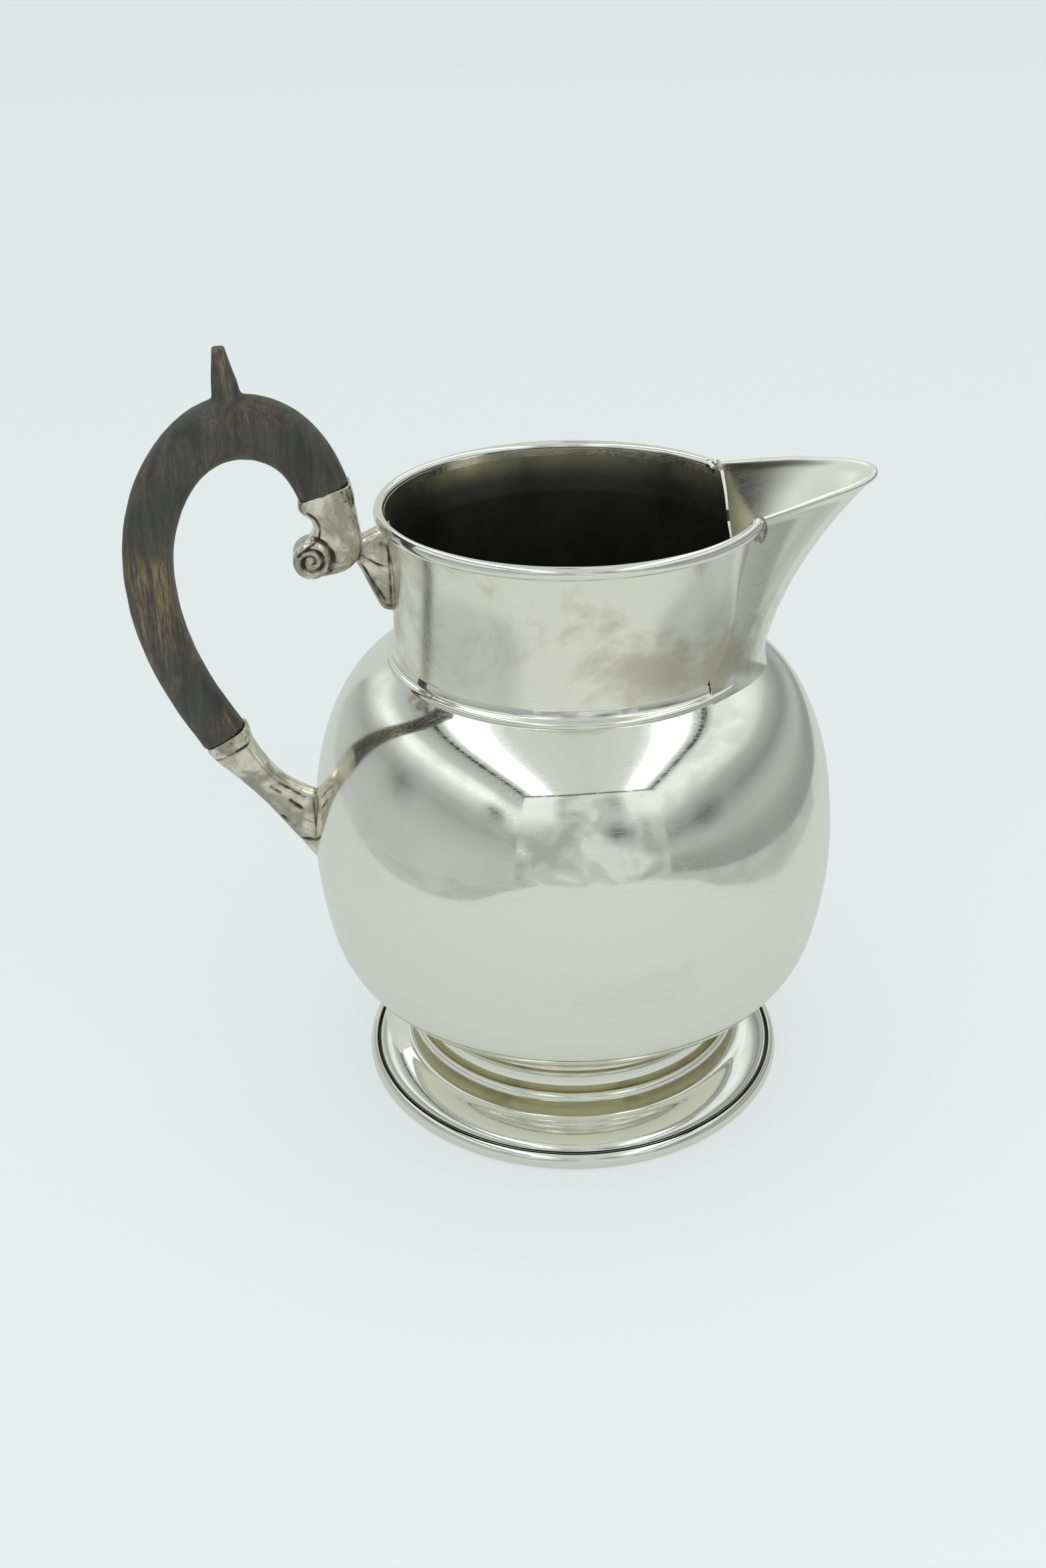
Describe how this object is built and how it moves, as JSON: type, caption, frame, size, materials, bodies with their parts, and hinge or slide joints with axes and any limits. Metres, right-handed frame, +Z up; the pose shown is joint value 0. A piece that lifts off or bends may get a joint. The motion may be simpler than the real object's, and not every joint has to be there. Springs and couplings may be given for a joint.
{
  "type": "water pitcher",
  "caption": "Bulbous footed water pitcher with an applied pouring spout, a wired rim and a C-shaped wooden handle held in scroll and leaf sockets.",
  "frame": {"origin": "the middle of the round foot on the plane that the pitcher stands on", "axes": "+Z up along the body's axis, +X towards the spout, -X towards the handle; the XZ plane is the plane of symmetry"},
  "size_m": [0.2056, 0.152, 0.225],
  "materials": {
    "polished_silver": "worn mirror polish",
    "oxidised_silver": "cast, tarnished in the recesses",
    "dark_wood": "matt, worn to brown on the grip"
  },
  "bodies": {
    "root": {"body_bowl": "polished_silver", "neck_band": "polished_silver", "neck_wire": "polished_silver", "rim_wire": "polished_silver", "spout": "polished_silver", "foot_top_wire": "polished_silver", "foot_collar": "polished_silver", "foot_dome": "polished_silver", "foot_rim_wire": "polished_silver", "handle_wood": "dark_wood", "upper_socket": "oxidised_silver", "upper_leaf": "oxidised_silver", "lower_socket": "oxidised_silver", "upper_pin": "oxidised_silver", "lower_pin": "oxidised_silver"}
  },
  "joints": []
}
